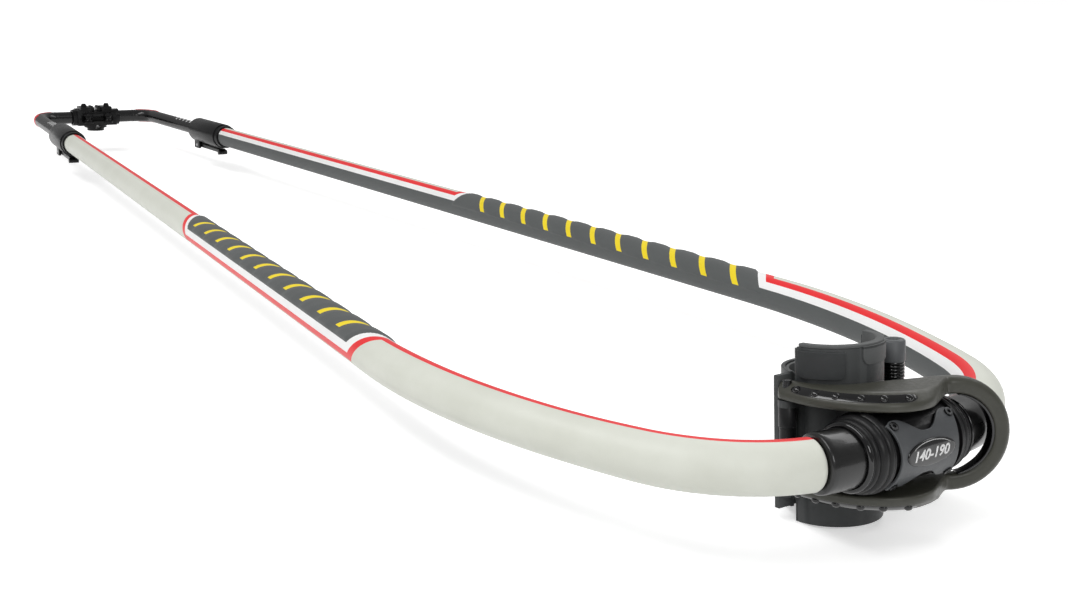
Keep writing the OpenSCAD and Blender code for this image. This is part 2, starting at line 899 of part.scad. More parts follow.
// ---------- drawing ----------
front_tube();
port_arm_tube();
starboard_arm_tube();
port_grip();
starboard_grip();
port_palm_pad();
starboard_palm_pad();
port_clamp();
starboard_clamp();
port_end_bush();
starboard_end_bush();
port_clamp_pin();
starboard_clamp_pin();
port_clamp_lever();
starboard_clamp_lever();
head_rear_shell();
head_front_shell();
front_cover();
badge();
cover_screws();
port_collar();
starboard_collar();
port_seal_ring();
starboard_seal_ring();
mast_cup();
cup_liner();
hinge_pin();
hinge_bush();
adjuster();
rear_jaw();
jaw_liner();
upper_lever_arm();
lower_lever_arm();
lever_loop();
lever_lining();
lever_pin();
upper_studs();
lower_studs();
port_tail_tube();
starboard_tail_tube();
port_tail_bumper();
starboard_tail_bumper();
port_leg_plug();
starboard_leg_plug();
fitting_top();
fitting_bottom();
fitting_screws();
rope_cleats();
port_roller();
starboard_roller();
roller_pins();
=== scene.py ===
"""Looks of a windsurfing wishbone boom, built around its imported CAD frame. Metres; angles in degrees."""

import json
import math

import bmesh
import bpy
from mathutils import Matrix, Vector


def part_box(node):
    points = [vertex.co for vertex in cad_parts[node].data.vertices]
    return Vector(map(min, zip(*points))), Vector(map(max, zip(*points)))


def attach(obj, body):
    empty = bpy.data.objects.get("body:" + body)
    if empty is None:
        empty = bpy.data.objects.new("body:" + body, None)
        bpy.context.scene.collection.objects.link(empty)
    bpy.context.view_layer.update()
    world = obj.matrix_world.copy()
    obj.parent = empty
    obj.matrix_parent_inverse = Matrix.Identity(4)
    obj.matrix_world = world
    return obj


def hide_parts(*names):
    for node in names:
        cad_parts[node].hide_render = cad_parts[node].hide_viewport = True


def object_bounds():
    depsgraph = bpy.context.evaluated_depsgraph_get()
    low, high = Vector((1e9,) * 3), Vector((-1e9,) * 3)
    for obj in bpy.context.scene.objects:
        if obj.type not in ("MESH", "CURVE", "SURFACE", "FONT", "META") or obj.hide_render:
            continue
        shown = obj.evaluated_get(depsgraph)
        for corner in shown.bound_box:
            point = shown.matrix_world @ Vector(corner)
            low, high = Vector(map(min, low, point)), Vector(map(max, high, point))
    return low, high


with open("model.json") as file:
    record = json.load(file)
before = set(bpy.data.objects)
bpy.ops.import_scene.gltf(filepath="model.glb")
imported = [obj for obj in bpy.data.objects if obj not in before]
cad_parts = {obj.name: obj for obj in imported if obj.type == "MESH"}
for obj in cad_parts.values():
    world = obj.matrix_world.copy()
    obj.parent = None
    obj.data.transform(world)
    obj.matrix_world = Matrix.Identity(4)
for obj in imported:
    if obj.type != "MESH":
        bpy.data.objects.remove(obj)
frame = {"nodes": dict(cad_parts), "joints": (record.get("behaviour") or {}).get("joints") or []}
nodes = frame["nodes"]
cad_box = [list(corner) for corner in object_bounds()]
joints = {j["name"]: j for j in frame["joints"]}
MM = 0.001

# ---------------------------------------------------------------- sizes that repeat the CAD's

TUBE = Vector(joints["head_tilt"]["pos_m"])         # centre of the front tube
TAIL = Vector(joints["tail_slide"]["pos_m"])        # centre of the tail crossbar
HEAD_AXIS = Vector(joints["adjuster_turn"]["axis"])
LEAN = math.degrees(math.atan2(-HEAD_AXIS.x, HEAD_AXIS.z))
TUBE_OFFSET = 45 * MM
FRONT_HALF = 41 * MM
BEND_R1 = 102 * MM
BEND_TURN1 = 64.2
BEND_R2 = 432 * MM
ARM_LEAN = 3.8
NECK_R = 16.5 * MM
NECK_TURN = 12
GRIP_R = (14.4 * MM, 13.75 * MM, 13.25 * MM)
CLAMP_START = 1026 * MM
CLAMP_END = 1129 * MM
TAIL_R = 9.5 * MM

SIDES = {"port": 1, "starboard": -1}

# ---------------------------------------------------------------- plan of one arm

TURN2 = 90 + ARM_LEAN - BEND_TURN1
A1, A2 = math.radians(BEND_TURN1), math.radians(BEND_TURN1 + TURN2)
C1 = Vector((-BEND_R1, FRONT_HALF))
C2 = C1 + (BEND_R1 - BEND_R2) * Vector((math.cos(A1), math.sin(A1)))
STRAIGHT_AT = C2 + BEND_R2 * Vector((math.cos(A2), math.sin(A2)))
ALONG = Vector((-math.sin(A2), math.cos(A2)))
S1 = FRONT_HALF + BEND_R1 * A1
S2 = S1 + BEND_R2 * (A2 - A1)


def arm_plan(s):
    """Point and direction of the port arm's centreline, s metres from the front centre."""
    if s < FRONT_HALF:
        return Vector((0, s)), Vector((0, 1))
    if s < S1:
        a = (s - FRONT_HALF) / BEND_R1
        return C1 + BEND_R1 * Vector((math.cos(a), math.sin(a))), Vector((-math.sin(a), math.cos(a)))
    if s < S2:
        a = A1 + (s - S1) / BEND_R2
        return C2 + BEND_R2 * Vector((math.cos(a), math.sin(a))), Vector((-math.sin(a), math.cos(a)))
    return STRAIGHT_AT + ALONG * (s - S2), ALONG


def arm_frame(s, side):
    """Centre, outward and along directions of an arm in the row frame; side is 1 for port, -1 for starboard."""
    p, t = arm_plan(s)
    centre = TUBE + Vector((p.x, side * p.y, 0))
    return centre, Vector((t.y, -side * t.x, 0)), Vector((t.x, side * t.y, 0))


def smooth(a, b, x):
    """0 below a, 1 above b, smooth between them."""
    t = min(max((x - a) / (b - a), 0), 1)
    return t * t * (3 - 2 * t)


# ---------------------------------------------------------------- mesh helpers

def new_object(name, verts, faces, attributes=None):
    """A smooth-shaded mesh object with optional float attributes per vertex."""
    mesh = bpy.data.meshes.new(name)
    mesh.from_pydata([tuple(v) for v in verts], [], faces)
    mesh.update()
    for key, values in (attributes or {}).items():
        mesh.attributes.new(key, "FLOAT", "POINT").data.foreach_set("value", values)
    bm = bmesh.new()
    bm.from_mesh(mesh)
    bmesh.ops.recalc_face_normals(bm, faces=bm.faces)
    bm.to_mesh(mesh)
    bm.free()
    obj = bpy.data.objects.new(name, mesh)
    bpy.context.scene.collection.objects.link(obj)
    for polygon in mesh.polygons:
        polygon.use_smooth = True
    return obj


def grid_faces(rows, cols, wrap=True):
    """Quads between rows of cols points; wrap closes each row into a ring."""
    faces = []
    for i in range(rows - 1):
        for j in range(cols if wrap else cols - 1):
            k = (j + 1) % cols
            faces.append((i * cols + j, i * cols + k, (i + 1) * cols + k, (i + 1) * cols + j))
    return faces


def loft(name, rings, attributes=None, caps=True):
    """A skin over rings with the same number of points each."""
    cols = len(rings[0])
    faces = grid_faces(len(rings), cols)
    if caps:
        faces.append(tuple(range(cols)))
        faces.append(tuple((len(rings) - 1) * cols + j for j in range(cols)))
    return new_object(name, [p for ring in rings for p in ring], faces, attributes)


def lathe(name, profile, place, arc=360, steps=96):
    """Profile points (radius, height) turned about the local Z of a matrix; open arcs get end faces."""
    full = arc >= 360
    count = steps if full else steps + 1
    rings = []
    for i in range(count):
        a = math.radians(arc * i / steps - (0 if full else arc / 2))
        rings.append([place @ Vector((r * math.cos(a), r * math.sin(a), z)) for r, z in profile])
    if full:
        rings.append(rings[0])
    cols = len(profile)
    verts = [p for ring in rings[:count] for p in ring]
    faces = []
    for i in range(count if full else count - 1):
        n = (i + 1) % count
        for j in range(cols):
            k = (j + 1) % cols
            faces.append((i * cols + j, i * cols + k, n * cols + k, n * cols + j))
    if not full:
        faces.append(tuple(range(cols)))
        faces.append(tuple((count - 1) * cols + j for j in range(cols)))
    return new_object(name, verts, faces)


def rounded(points, radius, steps=4):
    """An outline with its corners rounded, as a list of 2-D points."""
    out = []
    n = len(points)
    for i, p in enumerate(points):
        p = Vector(p)
        a = (Vector(points[i - 1]) - p)
        b = (Vector(points[(i + 1) % n]) - p)
        r = min(radius, a.length * 0.45, b.length * 0.45)
        a, b = p + a.normalized() * r, p + b.normalized() * r
        for k in range(steps + 1):
            t = k / steps
            out.append(tuple((1 - t) ** 2 * a + 2 * t * (1 - t) * p + t ** 2 * b))
    return out


def sharp_edges(obj, angle=35):
    """Smooth shading that keeps corners over an angle crisp."""
    mesh = obj.data
    bm = bmesh.new()
    bm.from_mesh(mesh)
    for edge in bm.edges:
        edge.smooth = not (len(edge.link_faces) == 2 and edge.calc_face_angle() > math.radians(angle))
    bm.to_mesh(mesh)
    bm.free()


def finish(obj, material, body, slot, *replaced):
    """Material, body, material slot (not used) and the CAD nodes that a piece stands for."""
    obj.data.materials.clear()
    obj.data.materials.append(material)
    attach(obj, body)
    if replaced:
        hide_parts(*replaced)
    return obj


def head_place(x=0.0, y=0.0, z=0.0):
    """Matrix from head coordinates, about the mast axis, to the row frame."""
    return Matrix.Rotation(math.radians(-LEAN), 4, "Y") @ Matrix.Translation((x, y, z))


# ---------------------------------------------------------------- materials

class Graph:
    """A material under construction, with short calls for its nodes."""

    def __init__(self, name):
        self.material = bpy.data.materials.new(name)
        self.material.use_nodes = True
        self.tree = self.material.node_tree
        self.shader = self.tree.nodes["Principled BSDF"]

    def node(self, kind, **settings):
        n = self.tree.nodes.new(kind)
        for key, value in settings.items():
            setattr(n, key, value)
        return n

    def link(self, socket, value):
        if isinstance(value, bpy.types.NodeSocket):
            self.tree.links.new(value, socket)
        else:
            socket.default_value = value

    def math(self, op, a, b=0.0, c=0.0):
        n = self.node("ShaderNodeMath", operation=op)
        for socket, value in zip(n.inputs, (a, b, c)):
            self.link(socket, value)
        return n.outputs[0]

    def mix(self, fac, a, b):
        n = self.node("ShaderNodeMix", data_type="RGBA")
        self.link(n.inputs["Factor"], fac)
        self.link(n.inputs[6], a)
        self.link(n.inputs[7], b)
        return n.outputs[2]

    def ramp(self, value, low, high, out_low=0.0, out_high=1.0):
        n = self.node("ShaderNodeMapRange", clamp=True)
        for socket, v in zip(n.inputs, (value, low, high, out_low, out_high)):
            self.link(socket, v)
        return n.outputs[0]

    def place(self):
        return self.node("ShaderNodeTexCoord").outputs["Object"]

    def noise(self, scale, detail=3.0, rough=0.55, stretch=None):
        vector = self.place()
        if stretch:
            m = self.node("ShaderNodeMapping")
            self.link(m.inputs["Vector"], vector)
            m.inputs["Scale"].default_value = stretch
            vector = m.outputs[0]
        n = self.node("ShaderNodeTexNoise")
        self.link(n.inputs["Vector"], vector)
        n.inputs["Scale"].default_value = scale
        n.inputs["Detail"].default_value = detail
        n.inputs["Roughness"].default_value = rough
        return n.outputs["Fac"]

    def cells(self, scale, feature="F1"):
        n = self.node("ShaderNodeTexVoronoi", feature=feature)
        self.link(n.inputs["Vector"], self.place())
        n.inputs["Scale"].default_value = scale
        return n.outputs["Distance"]

    def bump(self, height, strength, distance):
        n = self.node("ShaderNodeBump")
        n.inputs["Strength"].default_value = strength
        n.inputs["Distance"].default_value = distance
        self.link(n.inputs["Height"], height)
        self.link(self.shader.inputs["Normal"], n.outputs[0])

    def edge_wear(self):
        """High on convex edges."""
        n = self.node("ShaderNodeNewGeometry")
        return self.ramp(n.outputs["Pointiness"], 0.51, 0.56)

    def set(self, **values):
        for key, value in values.items():
            self.link(self.shader.inputs[key.replace("_", " ")], value)


def rgb(r, g, b):
    """Linear colour from 8-bit display values."""
    return tuple(((c / 255 + 0.055) / 1.055) ** 2.4 if c > 10 else c / 255 / 12.92 for c in (r, g, b)) + (1.0,)


def moulded(name, colour, rough, grain=0.35, worn=None, coat=0.0, specular=0.5):
    """Moulded plastic with a fine spark-eroded grain, faint mottling and rubbed edges."""
    g = Graph(name)
    mottle = g.ramp(g.noise(60, 4), 0.3, 0.7, 0.0, 1.0)
    dark = tuple(c * 0.82 for c in colour[:3]) + (1.0,)
    base = g.mix(mottle, dark, colour)
    if worn:
        base = g.mix(g.math("MULTIPLY", g.edge_wear(), 0.6), base, worn)
    g.set(Base_Color=base, Roughness=g.ramp(g.noise(420, 2), 0.3, 0.7, rough - 0.06, rough + 0.06))
    g.shader.inputs["Coat Weight"].default_value = coat
    g.shader.inputs["Coat Roughness"].default_value = 0.12
    g.shader.inputs["Specular IOR Level"].default_value = specular
    g.bump(g.noise(2600, 3, 0.7), grain, 0.00012)
    return g.material


def gloss(name, colour, rough=0.16, specular=0.5):
    """Polished black lacquer with a little orange peel and fine handling marks."""
    g = Graph(name)
    haze = g.noise(90, 5, 0.65, (1, 1, 4))
    g.set(Base_Color=g.mix(g.ramp(haze, 0.35, 0.75), colour, tuple(c * 1.7 for c in colour[:3]) + (1.0,)))
    g.set(Roughness=g.ramp(haze, 0.3, 0.8, rough, rough + 0.12))
    g.shader.inputs["Specular IOR Level"].default_value = specular
    g.shader.inputs["Coat Weight"].default_value = 0.25
    g.shader.inputs["Coat Roughness"].default_value = 0.08
    g.bump(g.noise(220, 2), 0.12, 0.00015)
    return g.material


def steel(name, shade=1.0):
    """Turned steel with fine circular tool marks; shade darkens it."""
    g = Graph(name)
    marks = g.noise(900, 2, 0.5, (1, 1, 0.05))
    g.set(Base_Color=g.mix(marks, rgb(*(shade * c for c in (150, 152, 155))), rgb(*(shade * c for c in (196, 198, 200)))))
    g.set(Roughness=g.ramp(marks, 0.3, 0.7, 0.22, 0.38))
    g.shader.inputs["Metallic"].default_value = 1.0
    g.bump(marks, 0.2, 0.00005)
    return g.material


def rubber(name, colour):
    """Soft rubber: matte, finely pitted, a little dusty."""
    g = Graph(name)
    dust = g.ramp(g.noise(35, 5), 0.45, 0.75, 0.0, 0.35)
    g.set(Base_Color=g.mix(dust, colour, tuple(min(1, c * 1.5 + 0.01) for c in colour[:3]) + (1.0,)))
    g.set(Roughness=0.62)
    g.bump(g.noise(1800, 4, 0.7), 0.35, 0.0001)
    return g.material


def carbon(name):
    """Carbon laminate under clear lacquer: a faint 2 mm twill shows at grazing light."""
    g = Graph(name)
    wave = g.node("ShaderNodeTexWave", wave_type="BANDS", bands_direction="DIAGONAL")
    g.link(wave.inputs["Vector"], g.place())
    wave.inputs["Scale"].default_value = 160
    wave.inputs["Distortion"].default_value = 0.6
    twill = wave.outputs["Fac"]
    g.set(Base_Color=g.mix(twill, rgb(6, 6, 7), rgb(15, 15, 16)))
    g.set(Roughness=g.ramp(g.noise(140, 3), 0.3, 0.7, 0.2, 0.32))
    g.shader.inputs["Specular IOR Level"].default_value = 0.3
    g.shader.inputs["Coat Weight"].default_value = 0.3
    g.shader.inputs["Coat Roughness"].default_value = 0.1
    g.bump(twill, 0.12, 0.00005)
    return g.material


# Pattern of the grips, on the unrolled surface: millimetres along, degrees from the top outwards
STRIPE_IN = -58
STRIPE_W = 26
PAD_OUT = 60
PAD_FROM = (384, 0.20)        # front end of the pad at the top, and its slant per degree
PAD_TO = (792, -0.16)
STRIPE_RUN = 8.5              # stripe width along the arm at the pad's ends
MARK_FIRST = 411.0
MARK_PITCH = 35.1
MARK_COUNT = 11
MARK_SLANT = 0.20
MARK_W = 6.8
MARK_SPAN = (-71, 36)
GRIP_COLOURS = {
    "body": rgb(212, 214, 204), "stripe": rgb(232, 16, 26), "line": rgb(243, 243, 243),
    "pad": rgb(80, 83, 83), "mark": rgb(240, 214, 12)
}


def foam_grip(name, roll):
    """Foam sleeve: pale outside, dark inside and in the palm zone, with a red and a white stripe between."""
    g = Graph(name)

    def attribute(key):
        return g.node("ShaderNodeAttribute", attribute_name=key).outputs["Fac"]

    run, out, up = attribute("run"), attribute("out"), attribute("up")
    angle = g.math("SUBTRACT", g.math("MULTIPLY", g.math("ARCTAN2", out, up), 180 / math.pi), roll)

    def less(a, b):
        return g.math("LESS_THAN", a, b)

    def slanted(start):
        return g.math("MULTIPLY_ADD", angle, start[1], start[0])

    def region(turn, reach):
        """Inside of the stripes' path, widened by turn degrees and reach millimetres."""
        ahead = less(g.math("SUBTRACT", slanted(PAD_FROM), reach), run)
        behind = less(run, g.math("ADD", slanted(PAD_TO), reach))
        pad = g.math("MULTIPLY", g.math("MULTIPLY", ahead, behind), less(angle, PAD_OUT + turn))
        return g.math("MAXIMUM", pad, less(angle, STRIPE_IN + turn))

    colour = g.mix(region(2 * STRIPE_W, 2 * STRIPE_RUN), GRIP_COLOURS["body"], GRIP_COLOURS["stripe"])
    colour = g.mix(region(STRIPE_W, STRIPE_RUN), colour, GRIP_COLOURS["line"])
    inside = region(0, 0)
    colour = g.mix(inside, colour, GRIP_COLOURS["pad"])
    # yellow marks, one every pitch
    shifted = g.math("SUBTRACT", g.math("SUBTRACT", run, MARK_FIRST), g.math("MULTIPLY", angle, MARK_SLANT))
    step = g.math("ROUND", g.math("DIVIDE", shifted, MARK_PITCH))
    off = g.math("ABSOLUTE", g.math("SUBTRACT", shifted, g.math("MULTIPLY", step, MARK_PITCH)))
    mark = g.math("MULTIPLY", less(off, MARK_W / 2), g.math("COMPARE", step, (MARK_COUNT - 1) / 2, MARK_COUNT / 2))
    mark = g.math("MULTIPLY", mark, g.math("COMPARE", angle, sum(MARK_SPAN) / 2, (MARK_SPAN[1] - MARK_SPAN[0]) / 2))
    colour = g.mix(mark, colour, GRIP_COLOURS["mark"])
    # foam: soft blotches, closed cells and a printed-on sheen difference
    blotch = g.ramp(g.noise(26, 5, 0.6), 0.35, 0.7)
    shade = g.mix(blotch, (0.93, 0.93, 0.92, 1.0), (1.0, 1.0, 1.0, 1.0))
    n = g.node("ShaderNodeMix", data_type="RGBA", blend_type="MULTIPLY")
    n.inputs["Factor"].default_value = 1.0
    g.link(n.inputs[6], colour)
    g.link(n.inputs[7], shade)
    g.set(Base_Color=n.outputs[2])
    g.set(Roughness=g.ramp(inside, 0, 1, 0.5, 0.72))
    g.shader.inputs["Sheen Weight"].default_value = 0.08
    cells = g.math("ADD", g.noise(1500, 4, 0.7), g.math("MULTIPLY", g.cells(900), 0.6))
    g.bump(g.math("MULTIPLY", cells, g.ramp(inside, 0, 1, 0.35, 1.0)), 0.3, 0.00016)
    return g.material


M = {
    "neck": gloss("neck_lacquer", rgb(10, 10, 10), 0.26, 0.35),
    "gloss": gloss("gloss_black", rgb(3, 3, 4), 0.07, 0.4),
    "black": moulded("black_moulding", rgb(17, 17, 18), 0.36, worn=rgb(34, 34, 35), specular=0.25),
    "clamp": moulded("clamp_moulding", rgb(9, 9, 10), 0.34, worn=rgb(26, 26, 27), specular=0.2),
    "slate": moulded("slate_moulding", rgb(76, 78, 80), 0.42, grain=0.25, worn=rgb(98, 100, 102), specular=0.3),
    "cup": moulded("cup_moulding", rgb(52, 54, 55), 0.44, worn=rgb(84, 86, 86), specular=0.25),
    "lever": moulded("lever_moulding", rgb(62, 62, 55), 0.38, grain=0.2, worn=rgb(84, 84, 76), specular=0.35),
    "screw": steel("dark_screw", 0.35),
    "line": moulded("silver_line", rgb(180, 180, 180), 0.4, grain=0.1),
    "liner": rubber("liner_rubber", rgb(78, 80, 80)),
    "steel": steel("stainless_steel"),
    "nylon": moulded("bush_nylon", rgb(214, 214, 205), 0.4),
    "carbon": carbon("carbon_laminate"),
    "red": moulded("red_bumper", rgb(226, 32, 44), 0.3, grain=0.15, coat=0.3),
    "white": moulded("white_print", rgb(235, 235, 235), 0.5, grain=0.1),
}

# ---------------------------------------------------------------- arms

def mark_profile(s_mm, angle):
    """Height of the ribs, 0 in the valleys of the marks and 1 on the crowns between them."""
    t = (s_mm - MARK_FIRST - MARK_SLANT * angle) / MARK_PITCH
    if t < -0.55 or t > MARK_COUNT - 0.45:
        return 1.0
    off = abs(t - round(t)) * MARK_PITCH
    return 0.25 + 0.75 * smooth(MARK_W / 2 - 1.5, MARK_W / 2 + 9, off)


def grip_radius(s):
    front, middle, rear = GRIP_R
    r = front + (middle - front) * smooth(S1 - 0.03, S1 + 0.05, s)
    return r + (rear - middle) * smooth(S2 - 0.06, S2 + 0.03, s)


def build_grip(side_name):
    side = SIDES[side_name]
    roll = -9 if side > 0 else 9
    s_from = FRONT_HALF + BEND_R1 * math.radians(NECK_TURN + 0.4)
    s_to = S2 + CLAMP_START + 23 * MM
    stops, s = [s_from, s_from + 0.6 * MM, s_from + 1.6 * MM], s_from + 3 * MM
    while s < s_to:
        stops.append(s)
        s += (1.7 * MM if 0.355 < s < 0.83 else 6 * MM)
    stops.append(s_to)
    cols = 96
    rings, run, out, up = [], [], [], []
    for s in stops:
        centre, outward, _ = arm_frame(s, side)
        ring = []
        for j in range(cols):
            a = 2 * math.pi * j / cols
            turned = (math.degrees(a) + 180 - roll) % 360 - 180
            mm = s / MM
            r = grip_radius(s) - 1.1 * MM * (1 - smooth(0, 1.6 * MM, s - s_from)) ** 2
            inside = smooth(PAD_FROM[0] + PAD_FROM[1] * turned, PAD_FROM[0] + PAD_FROM[1] * turned + 3, mm)
            inside *= 1 - smooth(PAD_TO[0] + PAD_TO[1] * turned - 3, PAD_TO[0] + PAD_TO[1] * turned, mm)
            inside *= smooth(-80, -72, turned) * (1 - smooth(PAD_OUT - 8, PAD_OUT, turned))
            r += 1.5 * MM * inside * mark_profile(mm, turned)
            ring.append(centre + r * (math.sin(a) * outward + math.cos(a) * Vector((0, 0, 1))))
            run.append(mm)
            out.append(math.sin(a))
            up.append(math.cos(a))
        rings.append(ring)
    obj = loft(side_name + "_foam_grip", rings, {"run": run, "out": out, "up": up})
    finish(obj, foam_grip(side_name + "_foam", roll), "root", "foam_grip",
           side_name + "_grip", side_name + "_palm_pad")


def build_neck():
    """Front tube: one gloss tube bent at both ends, with eased rims."""
    end = FRONT_HALF + BEND_R1 * math.radians(NECK_TURN)
    half = [0, 20 * MM, 38 * MM] + [FRONT_HALF + (end - FRONT_HALF) * i / 10 for i in range(9)]
    ease = [(end - 1.6 * MM, 0), (end - 0.9 * MM, 0.25), (end - 0.35 * MM, 0.7), (end, 1.5), (end, 4.5)]
    stops = [(s, 0) for s in half] + ease
    rings = []
    for side, run in ((-1, stops[:0:-1]), (1, stops)):
        for s, drop in run:
            centre, outward, _ = arm_frame(s, side)
            r = NECK_R - drop * MM
            flip = 1 if side > 0 else 1
            rings.append([centre + r * (math.sin(a) * flip * outward + math.cos(a) * Vector((0, 0, 1)))
                          for a in (2 * math.pi * j / 96 for j in range(96))])
    finish(loft("front_neck", rings), M["neck"], "root", "neck_gloss", "front_tube")


for side_name in SIDES:
    build_grip(side_name)
build_neck()

# ---------------------------------------------------------------- lever

LEVER_HEIGHT = 27.65
LEVER_T = 4.85
SLOPE_W = 6.6
SLOPE_FOOT = -0.6
EDGE_CUT = 2.4
LEVER_FRONT = [
    (0, -41.4), (8, -41.7), (20, -41.6), (32, -39), (43, -34.5), (53, -27.5),
    (61, -19), (66, -8), (66, 4), (61.5, 15), (57, 24.5), (54.4, 31.5), (56.2, 35.2)
]
LEVER_REAR = [
    (0, -31.2), (7, -30.0), (14, -27.2), (22, -21), (27.5, -13.2), (31, -4),
    (34, 5), (37.5, 13.5), (40.5, 21), (43, 27.5), (45.2, 33), (46.9, 36.6), (48.8, 39.8)
]
LOOP_AT = Vector((52.5, 37.5, 0))
LOOP_OUT = Vector((0.522, 0.853, 0))
LOOP_WIDE = Vector((0.853, -0.522, 0))
LOOP_W = 4.35
STUDS = 6
LEVER_NODES = [n for n in nodes if n in ("lever_bail", "upper_lever_arm", "lower_lever_arm", "lever_loop")]


def catmull(points, steps):
    """Smooth run of points through the given ones."""
    out = []
    n = len(points)
    for i in range(n - 1):
        p = [Vector(points[min(max(k, 0), n - 1)]) for k in (i - 1, i, i + 1, i + 2)]
        for k in range(steps):
            t = k / steps
            out.append(0.5 * (2 * p[1] + (p[2] - p[0]) * t + (2 * p[0] - 5 * p[1] + 4 * p[2] - p[3]) * t * t
                              + (3 * p[1] - 3 * p[2] + p[3] - p[0]) * t ** 3))
    out.append(Vector(points[-1]))
    return out


def bar_section(half_w, half_h, slope, radius=3.0):
    """Rounded bar outline whose front top edge is cut to a slope that many millimetres wide."""
    cut = max(slope, min(EDGE_CUT, half_w))
    foot = half_h - EDGE_CUT - max(slope - EDGE_CUT, 0) / (SLOPE_W - EDGE_CUT) * (half_h - EDGE_CUT - SLOPE_FOOT)
    corners = [(half_w, -half_h), (half_w, foot), (half_w - cut, half_h), (-half_w, half_h), (-half_w, -half_h)]
    return rounded(corners, radius, 7)


def lever_stations():
    """Centre, width direction, height direction, half-width and slope along the bail, upper arm first."""
    front, rear = catmull(LEVER_FRONT, 7), catmull(LEVER_REAR, 7)
    count = len(front)
    arm = []
    for i, (f, r) in enumerate(zip(front, rear)):
        mid, wide = (f + r) / 2, f - r
        slope = SLOPE_W * (1 - smooth(0.62, 0.86, i / (count - 1)))
        arm.append((Vector((mid.x, mid.y, LEVER_HEIGHT)), Vector((wide.x, wide.y, 0)).normalized(),
                    Vector((0, 0, 1)), wide.length / 2, slope))
    ring = []
    for i in range(1, 30):
        a = math.radians(90 - 180 * i / 30)
        radial = LOOP_OUT * math.cos(a) + Vector((0, 0, math.sin(a)))
        ring.append((LOOP_AT + LEVER_HEIGHT * radial, LOOP_WIDE, radial, LOOP_W, 0))
    low = [(Vector((c.x, c.y, -c.z)), w, -h, hw, cut) for c, w, h, hw, cut in reversed(arm)]
    return arm, ring, low


def build_lever():
    arm, ring, low = lever_stations()
    place = head_place()
    rings = [[place @ ((c + wide * w + high * h) * MM) for w, h in bar_section(hw, LEVER_T, cut)]
             for c, wide, high, hw, cut in arm + ring + low]

    def nose(station):
        c, wide, high, hw, cut = station
        out = []
        for k in range(1, 9):
            a = math.radians(89 * k / 8)
            back = Vector((-hw * math.sin(a), 0, 0))
            out.append([place @ ((c + back + wide * w + high * h) * MM)
                        for w, h in bar_section(hw * math.cos(a), LEVER_T - 1.2 * math.sin(a) ** 4, cut * math.cos(a), 2)])
        return out

    rings = nose(arm[0])[::-1] + rings + nose(low[-1])
    finish(loft("lever_bail_body", rings), M["lever"], "lever", "lever_grey", *LEVER_NODES)


def build_lining():
    """Gloss lining of the loop's inner face."""
    place = head_place()
    rings = []
    for i in range(41):
        a = math.radians(84 - 168 * i / 40)
        radial = LOOP_OUT * math.cos(a) + Vector((0, 0, math.sin(a)))
        taper = smooth(0, 0.16, 0.5 - abs(i / 40 - 0.5))
        c = LOOP_AT + (LEVER_HEIGHT - LEVER_T - 0.2) * radial
        rings.append([place @ ((c + LOOP_WIDE * w + radial * h) * MM)
                      for w, h in rounded([(3.7, -0.3 - 0.8 * taper), (3.7, 0.5), (-3.7, 0.5), (-3.7, -0.3 - 0.8 * taper)], 0.5)])
    finish(loft("loop_gloss_lining", rings), M["gloss"], "lever", "gloss_black", "lever_lining")


def slope_point(station):
    """Middle of the sloped front edge, with the slope's own directions."""
    c, wide, high, hw, cut = station
    drop = LEVER_T - SLOPE_FOOT
    middle = c + wide * (hw - cut / 2) + high * (LEVER_T - drop / 2)
    across = (wide * cut - high * drop).normalized()
    normal = (wide * drop + high * cut).normalized()
    return middle, across, normal


def dome(name, place, centre, normal, radius, height):
    """A low round stud."""
    side = normal.orthogonal().normalized()
    other = normal.cross(side)
    rings = []
    for k in range(9):
        a = math.radians(90 * k / 8)
        r, h = radius * math.cos(a) ** 0.8 if k < 8 else 0.03, height * math.sin(a)
        rings.append([place @ ((centre + normal * h + (side * math.cos(b) + other * math.sin(b)) * r) * MM)
                      for b in (2 * math.pi * j / 24 for j in range(24))])
    base = [place @ ((centre - normal * 0.5 + (side * math.cos(b) + other * math.sin(b)) * radius) * MM)
            for b in (2 * math.pi * j / 24 for j in range(24))]
    return loft(name, [base] + rings)


def join(name, objects):
    """One mesh object out of several."""
    bm = bmesh.new()
    for obj in objects:
        bm.from_mesh(obj.data)
        bpy.data.objects.remove(obj)
    mesh = bpy.data.meshes.new(name)
    bm.to_mesh(mesh)
    bm.free()
    for polygon in mesh.polygons:
        polygon.use_smooth = True
    obj = bpy.data.objects.new(name, mesh)
    bpy.context.scene.collection.objects.link(obj)
    return obj


def build_stud_beds():
    """Glossy pockets along the sloped edges of both arms, each with its row of studs."""
    place = head_place()
    arm, _, low = lever_stations()
    for name, stations in (("upper", arm), ("lower", low[::-1])):
        stations = stations[5:50]
        rings = []
        for i, station in enumerate(stations):
            middle, across, normal = slope_point(station)
            end = min(i, len(stations) - 1 - i)
            w = 2.75 * math.sqrt(1 - (1 - min(1, (end + 0.15) / 4)) ** 2)
            rings.append([place @ ((middle + across * u + normal * v) * MM)
                          for u, v in rounded([(w, -0.6), (w, 0.12), (-w, 0.12), (-w, -0.6)], 0.2, 2)])
        finish(loft(name + "_stud_bed", rings), M["gloss"], "lever", "gloss_black")
        studs = []
        for k in range(STUDS):
            middle, across, normal = slope_point(stations[round(3 + (len(stations) - 7) * k / (STUDS - 1))])
            studs.append(dome("stud", place, middle, normal, 2.3, 1.6))
        finish(join(name + "_domed_studs", studs), M["gloss"], "lever", "gloss_black", name + "_studs")


build_lever()
build_lining()
build_stud_beds()

# ---------------------------------------------------------------- cover, badge and collars

